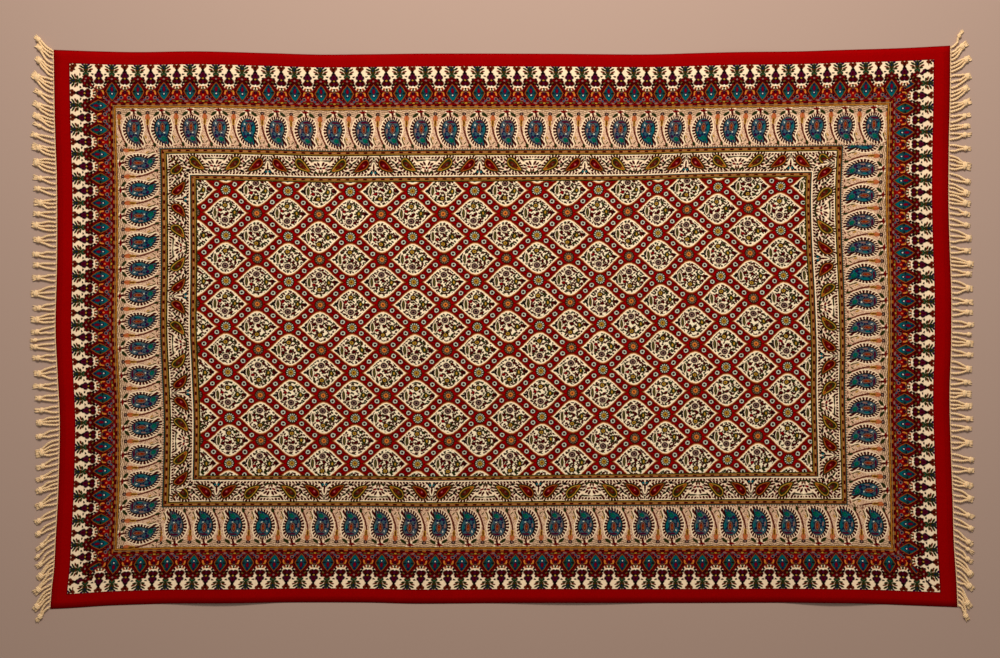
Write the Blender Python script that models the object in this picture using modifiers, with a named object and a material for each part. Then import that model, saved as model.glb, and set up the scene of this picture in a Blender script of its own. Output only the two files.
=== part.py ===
"""A block-printed cotton tablecloth lying flat on a surface, with a fringe of
knotted threads at each short end.

The cloth is one sheet with an uneven, hand-cut outline and a few low swells
along its long edges. The fringe at each end is a narrow woven heading with
the strands growing out of it. +X runs along the cloth, +Z is up, and the
origin is the middle of the underside.
"""

import math
import random
from collections import namedtuple

import bmesh
import bpy
from mathutils import Vector

MM = 0.001

# The cloth
CLOTH_LENGTH = 1.600
CLOTH_WIDTH = 0.984
CLOTH_THICKNESS = 1.5 * MM
CLOTH_COLUMNS = 40
CLOTH_ROWS = 24

# The fringe
HEADING_WIDTH = 3.0 * MM
HEADING_GAP = 0.3 * MM
STRANDS_PER_END = 98
ROOT_WIDTH = 3.4 * MM
TUFT_PITCH = 5.2 * MM
STRAND_STEPS = 5
LEAN_JITTER = 2.5
LENGTH_JITTER = 0.07
TUFT_SIZES = (2, 2, 3, 2, 2, 1, 2, 2, 2, 3, 2, 2, 2, 3, 2, 2, 2)

EdgePoint = namedtuple("EdgePoint", "along out_mm")
Swell = namedtuple("Swell", "x y half_length half_width height_mm")
LeanPoint = namedtuple("LeanPoint", "along degrees")
Girth = namedtuple("Girth", "along width_mm height_mm")

# How far each edge strays outwards from the straight one, from -1 to 1 along it
TOP_EDGE = (
    EdgePoint(-1.00, 6.5),
    EdgePoint(-0.90, 3.7),
    EdgePoint(-0.81, 2.4),
    EdgePoint(-0.68, 3.7),
    EdgePoint(-0.52, 0.4),
    EdgePoint(-0.41, -2.7),
    EdgePoint(-0.30, -2.0),
    EdgePoint(-0.18, -0.3),
    EdgePoint(0.10, -0.6),
    EdgePoint(0.31, -1.8),
    EdgePoint(0.42, 0.0),
    EdgePoint(0.53, 1.7),
    EdgePoint(0.64, 3.2),
    EdgePoint(0.75, 6.0),
    EdgePoint(0.89, 9.5),
    EdgePoint(1.00, 14.0),
)
BOTTOM_EDGE = (
    EdgePoint(-1.00, 11.6),
    EdgePoint(-0.95, 9.6),
    EdgePoint(-0.88, 5.7),
    EdgePoint(-0.81, 3.5),
    EdgePoint(-0.72, 1.5),
    EdgePoint(-0.58, 0.6),
    EdgePoint(-0.45, -0.4),
    EdgePoint(-0.30, -0.1),
    EdgePoint(-0.20, 1.9),
    EdgePoint(-0.10, 1.5),
    EdgePoint(0.12, 0.2),
    EdgePoint(0.35, 0.8),
    EdgePoint(0.62, 0.2),
    EdgePoint(0.75, 0.6),
    EdgePoint(0.89, 4.8),
    EdgePoint(1.00, 8.4),
)
LEFT_EDGE = (
    EdgePoint(-1.00, 11.6),
    EdgePoint(-0.93, 8.8),
    EdgePoint(-0.85, 4.4),
    EdgePoint(-0.74, 1.5),
    EdgePoint(-0.63, -1.7),
    EdgePoint(-0.48, -4.5),
    EdgePoint(-0.32, -5.5),
    EdgePoint(-0.16, -1.7),
    EdgePoint(0.00, 2.0),
    EdgePoint(0.22, -0.4),
    EdgePoint(0.38, -0.9),
    EdgePoint(0.55, -0.2),
    EdgePoint(0.66, 2.0),
    EdgePoint(0.77, 3.6),
    EdgePoint(1.00, 5.4),
)
RIGHT_EDGE = (
    EdgePoint(-1.00, 14.6),
    EdgePoint(-0.90, 12.3),
    EdgePoint(-0.77, 7.8),
    EdgePoint(-0.62, 5.6),
    EdgePoint(-0.48, 2.9),
    EdgePoint(-0.26, 0.0),
    EdgePoint(-0.08, 2.9),
    EdgePoint(0.11, 3.3),
    EdgePoint(0.28, 0.4),
    EdgePoint(0.44, -1.6),
    EdgePoint(0.65, -1.7),
    EdgePoint(0.80, -0.2),
    EdgePoint(1.00, 1.3),
)

# Where the long edges lift off the surface; sizes in metres
SWELLS = (
    Swell(-0.50, -0.50, 0.12, 0.15, 4.0),
    Swell(0.12, -0.50, 0.16, 0.12, 3.0),
    Swell(0.58, -0.50, 0.10, 0.17, 4.5),
    Swell(-0.30, 0.50, 0.15, 0.13, 3.5),
    Swell(0.42, 0.50, 0.13, 0.15, 4.0),
)

# Which way the strands lie at each end: degrees above straight out
LEFT_LEAN = (
    LeanPoint(-1.00, -52.0),
    LeanPoint(-0.86, -40.0),
    LeanPoint(-0.74, -36.0),
    LeanPoint(-0.58, -20.0),
    LeanPoint(-0.42, -18.0),
    LeanPoint(-0.25, 0.0),
    LeanPoint(0.00, -4.0),
    LeanPoint(0.25, 2.0),
    LeanPoint(0.50, 8.0),
    LeanPoint(0.68, 20.0),
    LeanPoint(0.84, 32.0),
    LeanPoint(1.00, 44.0),
)
RIGHT_LEAN = (
    LeanPoint(-1.00, -60.0),
    LeanPoint(-0.90, -42.0),
    LeanPoint(-0.76, -34.0),
    LeanPoint(-0.60, -16.0),
    LeanPoint(-0.35, -4.0),
    LeanPoint(0.00, -3.0),
    LeanPoint(0.25, -5.0),
    LeanPoint(0.50, -16.0),
    LeanPoint(0.64, -2.0),
    LeanPoint(0.78, 22.0),
    LeanPoint(0.93, 30.0),
    LeanPoint(1.00, 62.0),
)
LEFT_STRAND_LENGTH = 42 * MM
RIGHT_STRAND_LENGTH = 38 * MM

# A strand is thin at its root and swells into the knot and tuft at its end
STRAND_GIRTHS = (
    Girth(0.00, 3.4, 1.5),
    Girth(0.30, 3.4, 2.8),
    Girth(0.62, 3.6, 3.0),
    Girth(0.76, 4.4, 3.8),
    Girth(0.90, 4.2, 3.2),
    Girth(1.00, 3.0, 1.5),
)

COTTON_RED = (0.270, 0.002, 0.006, 1.0)
COTTON_CREAM = (0.620, 0.440, 0.270, 1.0)


def curve_through(rows, at):
    """The second column of a table at a place along its first, on a smooth curve."""
    last = len(rows) - 1
    at = min(max(at, rows[0][0]), rows[last][0])
    i = max(k for k in range(last) if rows[k][0] <= at)
    before, here, after, beyond = (rows[min(max(i + k, 0), last)] for k in (-1, 0, 1, 2))
    span = after[0] - here[0]
    t = (at - here[0]) / span
    rise_here = (after[1] - before[1]) / (after[0] - before[0]) * span
    rise_after = (beyond[1] - here[1]) / (beyond[0] - here[0]) * span
    return (
        (2 * t**3 - 3 * t**2 + 1) * here[1]
        + (t**3 - 2 * t**2 + t) * rise_here
        + (3 * t**2 - 2 * t**3) * after[1]
        + (t**3 - t**2) * rise_after
    )


def lift(x, y):
    """How far the underside is off the surface."""
    height = 0.0
    for swell in SWELLS:
        across = (x - swell.x) / swell.half_length
        inwards = (y - swell.y) / swell.half_width
        if abs(across) < 1 and abs(inwards) < 1:
            rise = (1 - across**2) ** 2 * (1 - inwards**2) ** 2
            height = max(height, swell.height_mm * MM * rise)
    return height


def laid(x, y):
    """Where a point of the flat, straight-edged cloth lies once the cloth is put down."""
    u = x / (CLOTH_LENGTH / 2)
    v = y / (CLOTH_WIDTH / 2)
    right = curve_through(RIGHT_EDGE, v) * (1 + u) / 2
    left = curve_through(LEFT_EDGE, v) * (1 - u) / 2
    top = curve_through(TOP_EDGE, u) * (1 + v) / 2
    bottom = curve_through(BOTTOM_EDGE, u) * (1 - v) / 2
    return Vector((x + (right - left) * MM, y + (top - bottom) * MM, lift(x, y)))


def beside_end(side, inset, v):
    """A point at one end, on the straight run between two rows of the cloth's grid."""
    below = min(math.floor((v + 1) / 2 * CLOTH_ROWS), CLOTH_ROWS - 1)
    rows = [2 * row / CLOTH_ROWS - 1 for row in (below, below + 1)]
    low, high = (laid(side * (CLOTH_LENGTH / 2 - inset), row * CLOTH_WIDTH / 2) for row in rows)
    return low.lerp(high, (v - rows[0]) / (rows[1] - rows[0]))


def cotton(name, colour):
    material = bpy.data.materials.new(name)
    material.use_nodes = True
    shader = material.node_tree.nodes["Principled BSDF"]
    shader.inputs["Base Color"].default_value = colour
    shader.inputs["Roughness"].default_value = 0.92
    shader.inputs["Metallic"].default_value = 0.0
    return material


def add_object(name, bm, material, collection):
    mesh = bpy.data.meshes.new(name)
    bm.to_mesh(mesh)
    bm.free()
    mesh.materials.append(material)
    part = bpy.data.objects.new(name, mesh)
    collection.objects.link(part)
    return part


def build_cloth(collection):
    """The sheet: a grid laid down along the uneven outline, then given its thickness."""
    bm = bmesh.new()
    bmesh.ops.create_grid(bm, x_segments=CLOTH_COLUMNS, y_segments=CLOTH_ROWS, size=1.0)
    half_length = CLOTH_LENGTH / 2 - HEADING_WIDTH - HEADING_GAP
    for vert in bm.verts:
        vert.co = laid(vert.co.x * half_length, vert.co.y * CLOTH_WIDTH / 2)
    cloth = add_object("cloth", bm, cotton("printed_cotton", COTTON_RED), collection)
    thickness = cloth.modifiers.new("thickness", "SOLIDIFY")
    thickness.thickness = CLOTH_THICKNESS
    thickness.offset = 1.0
    return cloth


def strand_roots():
    """The middle of each strand's root, from -1 to 1 along the end."""
    return [(2 * k + 1) / STRANDS_PER_END - 1 for k in range(STRANDS_PER_END)]


def tufts():
    """The strand roots in groups, one group to a tuft."""
    roots = strand_roots()
    groups = []
    while roots:
        size = TUFT_SIZES[len(groups) % len(TUFT_SIZES)]
        groups.append(roots[:size])
        roots = roots[size:]
    return groups


def strand_path(start, heart, along, across, reach, side):
    """Points along one strand on the surface, from its root at the heading to its tip."""
    tip = heart + along * reach + across
    bend_out = start + Vector((side, 0.5 * along.y)) * reach * 0.3
    bend_in = tip - along * reach * 0.42
    points = []
    for k in range(STRAND_STEPS + 1):
        t = k / STRAND_STEPS
        points.append(
            start * (1 - t) ** 3
            + bend_out * 3 * t * (1 - t) ** 2
            + bend_in * 3 * t**2 * (1 - t)
            + tip * t**3
        )
    return points


def girth(along):
    """Width and height of a strand at a place along it."""
    widths = [(row.along, row.width_mm * MM) for row in STRAND_GIRTHS]
    heights = [(row.along, row.height_mm * MM) for row in STRAND_GIRTHS]
    return curve_through(widths, along), curve_through(heights, along)


def grow_strand(bm, root_face, points, side):
    """Extrudes a strand from its root face, section by section, flat on the surface."""
    centre = root_face.calc_center_median()
    outwards = Vector((side, 0.0))
    signs = [
        (
            math.copysign(1, (vert.co - centre).to_2d().dot(outwards.orthogonal())),
            vert.co.z > centre.z,
        )
        for vert in root_face.verts
    ]
    face = root_face
    for k in range(1, len(points)):
        after = points[min(k + 1, len(points) - 1)]
        forward = (after - points[k - 1]).normalized()
        width, height = girth(k / (len(points) - 1))
        face = bmesh.ops.extrude_discrete_faces(bm, faces=[face])["faces"][0]
        for vert, (sideways, is_top) in zip(face.verts, signs):
            place = points[k] + forward.orthogonal() * sideways * width / 2
            vert.co = place.to_3d()
            vert.co.z = height if is_top else 0.0


def build_heading(side):
    """The woven strip at one end, with a face on its outer side for each strand."""
    edges = [-1.0]
    half_root = ROOT_WIDTH / CLOTH_WIDTH
    for root in strand_roots():
        edges += [root - half_root, root + half_root]
    edges.append(1.0)
    bm = bmesh.new()
    bmesh.ops.create_grid(bm, x_segments=1, y_segments=len(edges) - 1, size=1.0)
    for vert in bm.verts:
        row = round((vert.co.y + 1) / 2 * (len(edges) - 1))
        inset = 0.0 if vert.co.x * side > 0 else HEADING_WIDTH
        vert.co = beside_end(side, inset, edges[row])
    bmesh.ops.solidify(bm, geom=bm.faces[:], thickness=-CLOTH_THICKNESS)
    lowest = min(vert.co.z for vert in bm.verts)
    bmesh.ops.translate(bm, verts=bm.verts, vec=(0, 0, -lowest))
    bmesh.ops.recalc_face_normals(bm, faces=bm.faces)
    return bm


def build_fringe(name, side, lean_table, length, material, collection):
    """One end's heading with all its strands."""
    rng = random.Random(name)
    bm = build_heading(side)
    outer_faces = [face for face in bm.faces if face.normal.x * side > 0.7]
    outer_faces.sort(key=lambda face: face.calc_center_median().y)
    root_faces = iter(outer_faces[1::2])
    for group in tufts():
        middle = sum(group) / len(group)
        heart = beside_end(side, 0.0, middle).to_2d()
        lean = curve_through(lean_table, middle) + rng.uniform(-LEAN_JITTER, LEAN_JITTER)
        lean = math.radians(lean)
        along = Vector((side * math.cos(lean), math.sin(lean)))
        upwards = Vector((-math.sin(lean) * side, math.cos(lean)))
        for k, root in enumerate(group):
            start = beside_end(side, 0.0, root).to_2d()
            across = upwards * (k - (len(group) - 1) / 2) * TUFT_PITCH
            reach = length * (1 + rng.uniform(-LENGTH_JITTER, LENGTH_JITTER))
            points = strand_path(start, heart, along, across, reach, side)
            grow_strand(bm, next(root_faces), points, side)
    return add_object(name, bm, material, collection)


def main():
    for old in list(bpy.data.objects):
        bpy.data.objects.remove(old)
    collection = bpy.data.collections.new("tablecloth")
    bpy.context.scene.collection.children.link(collection)
    build_cloth(collection)
    thread = cotton("fringe_cotton", COTTON_CREAM)
    build_fringe("fringe_left", -1, LEFT_LEAN, LEFT_STRAND_LENGTH, thread, collection)
    build_fringe("fringe_right", 1, RIGHT_LEAN, RIGHT_STRAND_LENGTH, thread, collection)


main()
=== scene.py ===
"""A block-printed cotton tablecloth with a knotted fringe, laid flat and seen from above."""

import math
import random
from collections import namedtuple

import bmesh
import bpy
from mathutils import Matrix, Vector


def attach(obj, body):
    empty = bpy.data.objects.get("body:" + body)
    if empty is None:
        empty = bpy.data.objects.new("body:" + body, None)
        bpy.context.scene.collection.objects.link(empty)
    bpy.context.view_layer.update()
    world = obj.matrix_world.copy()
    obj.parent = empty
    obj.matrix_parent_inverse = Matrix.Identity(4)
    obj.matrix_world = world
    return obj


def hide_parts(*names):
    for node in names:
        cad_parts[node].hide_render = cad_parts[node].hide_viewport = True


bl_info = {
    "name": "Block-printed tablecloth",
    "version": (1, 0, 0),
    "blender": (4, 5, 0),
    "location": "3D View > Sidebar > Tablecloth",
    "description": "Makes a block-printed cotton tablecloth with a knotted fringe",
    "category": "Add Mesh",
}

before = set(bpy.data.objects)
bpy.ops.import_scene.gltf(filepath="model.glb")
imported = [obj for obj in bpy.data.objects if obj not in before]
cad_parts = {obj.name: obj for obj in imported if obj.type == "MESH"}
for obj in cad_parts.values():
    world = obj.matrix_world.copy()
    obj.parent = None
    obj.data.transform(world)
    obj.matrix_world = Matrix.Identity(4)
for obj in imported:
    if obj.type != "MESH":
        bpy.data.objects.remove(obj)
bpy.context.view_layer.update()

MM = 0.001

# The cloth, flat and straight-edged, before it is laid down
CLOTH_LENGTH = 1.600
CLOTH_WIDTH = 0.984

# The pattern is charted in steps, each one pixel of the photograph: the length is this many
STEPS_LONG = 892.8
STEP = CLOTH_LENGTH / STEPS_LONG
STEPS_WIDE = CLOTH_WIDTH / STEP

EdgePoint = namedtuple("EdgePoint", "along out_mm")
Swell = namedtuple("Swell", "x y half_length half_width height_mm")
Pull = namedtuple("Pull", "x y half_length half_width right_mm up_mm")
LeanPoint = namedtuple("LeanPoint", "along degrees")

# How far each edge strays outwards from the straight one, from -1 to 1 along it
TOP_EDGE = (
    EdgePoint(-1.00, 6.5),
    EdgePoint(-0.90, 3.7),
    EdgePoint(-0.81, 2.4),
    EdgePoint(-0.68, 3.7),
    EdgePoint(-0.52, 0.4),
    EdgePoint(-0.41, -2.7),
    EdgePoint(-0.30, -2.0),
    EdgePoint(-0.18, -0.3),
    EdgePoint(0.10, -0.6),
    EdgePoint(0.31, -1.8),
    EdgePoint(0.42, 0.0),
    EdgePoint(0.53, 1.7),
    EdgePoint(0.64, 3.2),
    EdgePoint(0.75, 6.0),
    EdgePoint(0.89, 9.5),
    EdgePoint(1.00, 14.0),
)
BOTTOM_EDGE = (
    EdgePoint(-1.00, 11.6),
    EdgePoint(-0.95, 9.6),
    EdgePoint(-0.88, 5.7),
    EdgePoint(-0.81, 3.5),
    EdgePoint(-0.72, 1.5),
    EdgePoint(-0.58, 0.6),
    EdgePoint(-0.45, -0.4),
    EdgePoint(-0.30, -0.1),
    EdgePoint(-0.20, 1.9),
    EdgePoint(-0.10, 1.5),
    EdgePoint(0.12, 0.2),
    EdgePoint(0.35, 0.8),
    EdgePoint(0.62, 0.2),
    EdgePoint(0.75, 0.6),
    EdgePoint(0.89, 4.8),
    EdgePoint(1.00, 8.4),
)
LEFT_EDGE = (
    EdgePoint(-1.00, 11.6),
    EdgePoint(-0.93, 8.8),
    EdgePoint(-0.85, 4.4),
    EdgePoint(-0.74, 1.5),
    EdgePoint(-0.63, -1.7),
    EdgePoint(-0.48, -4.5),
    EdgePoint(-0.32, -5.5),
    EdgePoint(-0.16, -1.7),
    EdgePoint(0.00, 2.0),
    EdgePoint(0.22, -0.4),
    EdgePoint(0.38, -0.9),
    EdgePoint(0.55, -0.2),
    EdgePoint(0.66, 2.0),
    EdgePoint(0.77, 3.6),
    EdgePoint(1.00, 5.4),
)
RIGHT_EDGE = (
    EdgePoint(-1.00, 14.6),
    EdgePoint(-0.90, 12.3),
    EdgePoint(-0.77, 7.8),
    EdgePoint(-0.62, 5.6),
    EdgePoint(-0.48, 2.9),
    EdgePoint(-0.26, 0.0),
    EdgePoint(-0.08, 2.9),
    EdgePoint(0.11, 3.3),
    EdgePoint(0.28, 0.4),
    EdgePoint(0.44, -1.6),
    EdgePoint(0.65, -1.7),
    EdgePoint(0.80, -0.2),
    EdgePoint(1.00, 1.3),
)

# Where the long edges lift off the surface; sizes in metres
SWELLS = (
    Swell(-0.50, -0.50, 0.12, 0.15, 4.0),
    Swell(0.12, -0.50, 0.16, 0.12, 3.0),
    Swell(0.58, -0.50, 0.10, 0.17, 4.5),
    Swell(-0.30, 0.50, 0.15, 0.13, 3.5),
    Swell(0.42, 0.50, 0.13, 0.15, 4.0),
)

# Where the weave is pulled askew, so that the printed lines bend; sizes in metres
PULLS = (
    Pull(0.45, 0.00, 0.60, 0.45, 0.0, 9.0),
    Pull(0.42, 0.20, 0.30, 0.30, -10.0, 2.0),
    Pull(-0.05, -0.15, 0.70, 0.35, 7.0, 0.0),
    Pull(0.45, -0.20, 0.45, 0.30, 2.0, 2.0),
    Pull(0.15, 0.38, 0.80, 0.17, 8.0, 0.0),
)

# The bands of the border from the outside in. Widths on each side are in steps.
# The chart of a band is cell steps long for one repeat and deep steps from its outer line.
Band = namedtuple("Band", "print left right top bottom pieces cell deep")
BANDS = (
    Band("red", 15.9, 16.9, 13.0, 14.2, 2, 20.0, 15.0),
    Band("trefoil", 40.6, 41.0, 38.3, 37.3, 6, 26.0, 40.0),
    Band("stripe", 5.0, 5.2, 4.7, 5.0, 1, 8.0, 5.0),
    Band("paisley", 42.3, 42.4, 39.9, 39.3, 6, 28.8, 40.0),
    Band("guard", 7.5, 6.2, 6.0, 5.7, 1, 8.8, 6.0),
    Band("vine", 22.0, 22.6, 20.9, 21.0, 3, 106.2, 21.0),
    Band("guard", 7.1, 6.2, 5.4, 4.7, 1, 8.8, 6.0),
)
FIELD_COLUMNS = 116
FIELD_ROWS = 56

# Where the repeats of each print start on each side, and their pitch, in steps
Repeat = namedtuple("Repeat", "print side first pitch")
REPEATS = [
    Repeat("trefoil", "top", 57.75, 25.87),
    Repeat("trefoil", "right", 35.6, 24.11),
    Repeat("trefoil", "bottom", 59.1, 26.48),
    Repeat("trefoil", "left", 53.7, 24.08),
    Repeat("paisley", "top", 78.7, 28.37),
    Repeat("paisley", "right", 120.15, 26.50),
    Repeat("paisley", "bottom", 118.75, 29.02),
    Repeat("paisley", "left", 110.6, 26.28),
    Repeat("vine", "top", 263.7, 105.2),
    Repeat("vine", "right", 162.6, 97.3),
    Repeat("vine", "bottom", 210.7, 106.5),
    Repeat("vine", "left", 195.2, 96.15),
]
# The pitches of the plain prints, along the long sides and the short ones
PlainPitch = namedtuple("PlainPitch", "print long_sides short_sides")
for plain in (
    PlainPitch("red", 20.0, 20.0),
    PlainPitch("stripe", 8.6, 8.05),
    PlainPitch("guard", 8.8, 8.3),
):
    REPEATS += [Repeat(plain.print, side, 0.0, plain.long_sides) for side in ("top", "bottom")]
    REPEATS += [Repeat(plain.print, side, 0.0, plain.short_sides) for side in ("left", "right")]
# The side whose paisleys fill each corner
PAISLEY_CORNERS = {
    ("left", "top"): "top",
    ("right", "top"): "top",
    ("right", "bottom"): "bottom",
    ("left", "bottom"): "left",
}
# The field: a rosette's place and the lattice's pitch, in steps
ROSETTE_X = 169.0
ROSETTE_Y = 137.4
LATTICE_X = 62.2
LATTICE_Y = 45.4

# How far the printing wanders from the chart, in steps
WOBBLE = 1.1

# The fringe. The jitters are in degrees of lean and in shares of a strand's length.
STRANDS_PER_END = 98
TUFT_SIZES = (2, 2, 3, 2, 2, 1, 2, 2, 2, 3, 2, 2, 2, 3, 2, 2, 2)
LEAN_JITTER = 2.5
LENGTH_JITTER = 0.07
# A strand's twist: one turn's length and the plies' distance from its middle, in ply radii
TWIST_TURN = 6.0
TWIST_STEPS = 7
PLY_OFFSET = 0.85
# How far the strands lean along the end, from -1 to 1 along it
LEFT_LEAN = (
    LeanPoint(-1.00, -52.0),
    LeanPoint(-0.86, -40.0),
    LeanPoint(-0.74, -36.0),
    LeanPoint(-0.58, -20.0),
    LeanPoint(-0.42, -18.0),
    LeanPoint(-0.25, 0.0),
    LeanPoint(0.00, -4.0),
    LeanPoint(0.25, 2.0),
    LeanPoint(0.50, 8.0),
    LeanPoint(0.68, 20.0),
    LeanPoint(0.84, 32.0),
    LeanPoint(1.00, 44.0),
)
RIGHT_LEAN = (
    LeanPoint(-1.00, -60.0),
    LeanPoint(-0.90, -42.0),
    LeanPoint(-0.76, -34.0),
    LeanPoint(-0.60, -16.0),
    LeanPoint(-0.35, -4.0),
    LeanPoint(0.00, -3.0),
    LeanPoint(0.25, -5.0),
    LeanPoint(0.50, -16.0),
    LeanPoint(0.64, -2.0),
    LeanPoint(0.78, 22.0),
    LeanPoint(0.93, 30.0),
    LeanPoint(1.00, 62.0),
)

# The camera looks straight down at this point, and sees this width of the floor
VIEW_CENTRE = (-5.4 * MM, -1.8 * MM)
VIEW_WIDTH = 1.792
LENS_MM = 50.0
SENSOR_MM = 36.0

# The floor, and the light: a dim sky, and a softbox turned to its target
FLOOR_HALF_SIZE = 40.0
SKY_COLOUR = (1.0, 0.98, 0.95, 1.0)
SKY_STRENGTH = 0.26
SOFTBOX_COLOUR = (1.0, 0.97, 0.93)
SOFTBOX_SIZE = (0.8, 0.7)
SOFTBOX_WATTS = 68.0
SOFTBOX_PLACE = Vector((0.05, 1.9, 1.9))
SOFTBOX_TARGET = Vector((0.05, 0.3, 0.0))


def dye(red, green, blue):
    """A dye's colour from its 0 to 255 screen values."""
    return tuple((value / 255) ** 2.2 for value in (red, green, blue))


def colour_property(name, description, default):
    return bpy.props.FloatVectorProperty(
        name=name,
        description=description,
        default=default,
        subtype="COLOR",
        size=3,
        min=0.0,
        max=1.0,
    )


class TableclothSizes(bpy.types.PropertyGroup):
    """The sizes of the cloth and its fringe that a user would change."""

    cloth_thickness: bpy.props.FloatProperty(
        name="Cloth thickness",
        description="Thickness of the printed cotton",
        default=0.7 * MM,
        min=0.2 * MM,
        max=1.5 * MM,
        unit="LENGTH",
    )
    left_strand: bpy.props.FloatProperty(
        name="Left fringe",
        description="Length of the strands at the left end",
        default=42.0 * MM,
        min=10.0 * MM,
        max=80.0 * MM,
        unit="LENGTH",
    )
    right_strand: bpy.props.FloatProperty(
        name="Right fringe",
        description="Length of the strands at the right end",
        default=38.0 * MM,
        min=10.0 * MM,
        max=80.0 * MM,
        unit="LENGTH",
    )
    ply_radius: bpy.props.FloatProperty(
        name="Ply radius",
        description="Radius of one of the two plies that a fringe strand is twisted from",
        default=1.28 * MM,
        min=0.2 * MM,
        max=1.5 * MM,
        unit="LENGTH",
    )


class TableclothDyes(bpy.types.PropertyGroup):
    """The colours of the print and the fringe."""

    red: colour_property("Border red", "Dyed border", dye(146, 0, 6))
    crimson: colour_property("Crimson", "Madder ground of the lattice", dye(116, 2, 14))
    maroon: colour_property("Maroon", "Dark madder", dye(66, 5, 8))
    plum: colour_property("Plum", "Purple madder", dye(72, 14, 38))
    rose: colour_property("Rose", "Thin madder", dye(190, 92, 90))
    cream: colour_property("Cream", "Undyed cotton", dye(255, 221, 179))
    pale: colour_property("Pale grey", "Thin iron grey", dye(206, 202, 178))
    apricot: colour_property("Apricot", "Thin orange", dye(246, 184, 124))
    tan: colour_property("Tan", "Speckled ground of the paisley band", dye(226, 175, 136))
    black: colour_property("Black", "Iron black", dye(26, 14, 14))
    navy: colour_property("Navy", "Dark blue", dye(24, 24, 58))
    teal: colour_property("Teal", "Blue-green", dye(2, 88, 92))
    green: colour_property("Green", "Leaf green", dye(4, 84, 58))
    leaf: colour_property("Leaf", "Dark leaf green", dye(40, 44, 18))
    blue: colour_property("Blue", "Grey blue", dye(56, 80, 92))
    mauve: colour_property("Mauve", "Grey mauve", dye(134, 96, 84))
    ochre: colour_property("Ochre", "Pomegranate-rind yellow", dye(176, 128, 44))
    olive: colour_property("Olive", "Brown green", dye(92, 76, 36))
    brown: colour_property("Brown", "Red brown", dye(92, 34, 16))
    orange: colour_property("Orange", "Orange", dye(214, 112, 48))
    rust: colour_property("Rust", "Brown orange", dye(158, 74, 28))
    salmon: colour_property("Salmon", "Thin brown orange", dye(190, 102, 62))
    white: colour_property("White", "Bleached spots", dye(255, 231, 189))
    thread: colour_property("Fringe thread", "Undyed fringe", dye(255, 216, 164))
    floor: colour_property("Floor", "Plain pale floor", dye(177, 147, 130))


def curve_through(rows, at):
    """The second column of a table at a place along its first, on a smooth curve."""
    last = len(rows) - 1
    at = min(max(at, rows[0][0]), rows[last][0])
    i = max(k for k in range(last) if rows[k][0] <= at)
    before, here, after, beyond = (rows[min(max(i + k, 0), last)] for k in (-1, 0, 1, 2))
    span = after[0] - here[0]
    t = (at - here[0]) / span
    rise_here = (after[1] - before[1]) / (after[0] - before[0]) * span
    rise_after = (beyond[1] - here[1]) / (beyond[0] - here[0]) * span
    return (
        (2 * t**3 - 3 * t**2 + 1) * here[1]
        + (t**3 - 2 * t**2 + t) * rise_here
        + (3 * t**2 - 2 * t**3) * after[1]
        + (t**3 - t**2) * rise_after
    )


def lift(x, y):
    """How far the underside is off the surface."""
    height = 0.0
    for swell in SWELLS:
        across = (x - swell.x) / swell.half_length
        inwards = (y - swell.y) / swell.half_width
        if abs(across) < 1 and abs(inwards) < 1:
            rise = (1 - across**2) ** 2 * (1 - inwards**2) ** 2
            height = max(height, swell.height_mm * MM * rise)
    return height


def laid(x, y):
    """Where a point of the flat, straight-edged cloth lies once the cloth is put down."""
    u = x / (CLOTH_LENGTH / 2)
    v = y / (CLOTH_WIDTH / 2)
    right = curve_through(RIGHT_EDGE, v) * (1 + u) / 2
    left = curve_through(LEFT_EDGE, v) * (1 - u) / 2
    top = curve_through(TOP_EDGE, u) * (1 + v) / 2
    bottom = curve_through(BOTTOM_EDGE, u) * (1 - v) / 2
    at = Vector((x + (right - left) * MM, y + (top - bottom) * MM, lift(x, y)))
    for pull in PULLS:
        across = (x - pull.x) / pull.half_length
        inwards = (y - pull.y) / pull.half_width
        if abs(across) < 1 and abs(inwards) < 1:
            share = (1 - across**2) ** 2 * (1 - inwards**2) ** 2 * MM
            at += Vector((pull.right_mm, pull.up_mm, 0.0)) * share
    return at


def grid_lines(near, far, length, middle_pieces):
    """Places of the grid lines from the near side to the far one, in steps, with the bands' own
    lines among them."""
    lines = [0.0]
    end = [length]
    for band in BANDS:
        parts = [(k + 1, band.pieces) for k in range(band.pieces)]
        lines += [lines[-1] + getattr(band, near) * k / pieces for k, pieces in parts]
        end += [end[-1] - getattr(band, far) * k / pieces for k, pieces in parts]
    end.reverse()
    span = end[0] - lines[-1]
    lines += [lines[-1] + span * (k + 1) / middle_pieces for k in range(middle_pieces - 1)]
    return lines + end


def band_at(depth):
    """The band that a grid square so many squares in from the edge belongs to, or None."""
    for index, band in enumerate(BANDS):
        if depth < band.pieces:
            return index
        depth -= band.pieces
    return None


def band_chart(index, side, x, y):
    """A point's place on its band's chart: along the repeats, and in from the outer line."""
    band = BANDS[index]
    depths = {"left": x, "right": STEPS_LONG - x, "top": y, "bottom": STEPS_WIDE - y}
    outer = sum(getattr(earlier, side) for earlier in BANDS[:index])
    inwards = (depths[side] - outer) / getattr(band, side) * band.deep
    repeat = next(row for row in REPEATS if row.print == band.print and row.side == side)
    along = {"left": -y, "right": y, "top": x, "bottom": -x}[side]
    first = repeat.first if side in ("top", "right") else -repeat.first
    return (along - first) / repeat.pitch * band.cell, inwards


def field_chart(x, y):
    """A point's place on the field's chart, from a rosette."""
    return x - ROSETTE_X, y - ROSETTE_Y


def add_piece(name, mesh, materials):
    """Puts a finished mesh in the scene as a piece of the tablecloth."""
    piece = bpy.data.objects.new(name, mesh)
    bpy.context.scene.collection.objects.link(piece)
    for material in materials:
        mesh.materials.append(material)
    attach(piece, "root")
    return piece


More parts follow.
